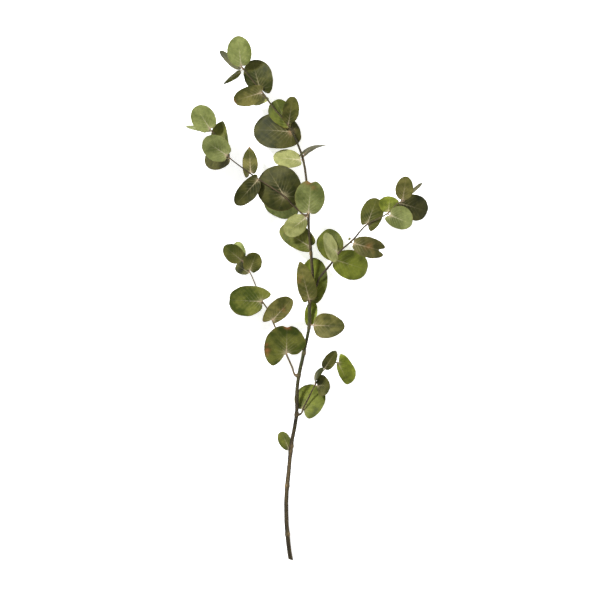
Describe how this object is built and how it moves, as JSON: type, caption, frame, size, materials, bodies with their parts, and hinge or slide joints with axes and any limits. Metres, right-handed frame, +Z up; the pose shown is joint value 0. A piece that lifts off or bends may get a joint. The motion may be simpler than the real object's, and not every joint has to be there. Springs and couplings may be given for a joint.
{
  "type": "dried eucalyptus branch",
  "caption": "Cut and dried eucalyptus branch lying on its side, with a bent main stem, side twigs and round leathery leaves.",
  "frame": {"origin": "on the surface that the branch lies on, under the middle of its bounding box", "axes": "+Y from the cut end of the main stem to its growing tip, +X to the right of it as it is seen from above, +Z up from the surface"},
  "size_m": [0.292, 0.6304, 0.06],
  "materials": {
    "leaf_dark": "satin",
    "leaf_green": "satin",
    "leaf_olive": "satin",
    "leaf_grey_green": "satin",
    "leaf_yellow_green": "satin",
    "leaf_pale": "matte",
    "stem_bark": "matte",
    "twig_bark": "matte"
  },
  "bodies": {
    "root": {"main_stem": "stem_bark", "main_leaf_01": "leaf_green", "main_leaf_02": "leaf_yellow_green", "main_leaf_03": "leaf_olive", "main_leaf_04": "leaf_olive", "main_leaf_05": "leaf_yellow_green", "main_leaf_06": "leaf_green", "main_leaf_07": "leaf_pale", "main_leaf_08": "leaf_grey_green", "main_leaf_09": "leaf_pale", "main_leaf_10": "leaf_olive", "main_leaf_11": "leaf_yellow_green", "main_leaf_12": "leaf_dark", "main_leaf_13": "leaf_dark", "main_leaf_14": "leaf_dark", "main_leaf_15": "leaf_pale", "main_leaf_16": "leaf_olive", "main_leaf_17": "leaf_dark", "main_leaf_18": "leaf_green", "main_leaf_19": "leaf_grey_green", "upper_left_twig": "twig_bark", "upper_left_leaf_01": "leaf_grey_green", "upper_left_leaf_02": "leaf_dark", "upper_left_leaf_03": "leaf_dark", "upper_left_leaf_04": "leaf_olive", "upper_left_leaf_05": "leaf_dark", "upper_left_leaf_06": "leaf_grey_green", "upper_left_leaf_07": "leaf_green", "upper_left_leaf_08": "leaf_grey_green", "upper_left_leaf_09": "leaf_grey_green", "right_twig": "twig_bark", "right_leaf_01": "leaf_yellow_green", "right_leaf_02": "leaf_pale", "right_leaf_03": "leaf_yellow_green", "right_leaf_04": "leaf_pale", "right_leaf_05": "leaf_olive", "right_leaf_06": "leaf_green", "right_leaf_07": "leaf_yellow_green", "right_leaf_08": "leaf_grey_green", "right_leaf_09": "leaf_dark", "right_leaf_10": "leaf_olive", "right_leaf_11": "leaf_olive", "lower_left_twig": "twig_bark", "lower_left_leaf_01": "leaf_green", "lower_left_leaf_02": "leaf_olive", "lower_left_leaf_03": "leaf_dark", "lower_left_leaf_04": "leaf_green", "lower_left_leaf_05": "leaf_dark", "lower_left_leaf_06": "leaf_dark", "lower_left_leaf_07": "leaf_grey_green", "lower_left_leaf_08": "leaf_dark", "lower_right_twig": "twig_bark", "lower_right_leaf_01": "leaf_yellow_green", "lower_right_leaf_02": "leaf_dark", "lower_right_leaf_03": "leaf_dark", "lower_right_leaf_04": "leaf_dark", "lower_right_leaf_05": "leaf_yellow_green"}
  },
  "joints": []
}
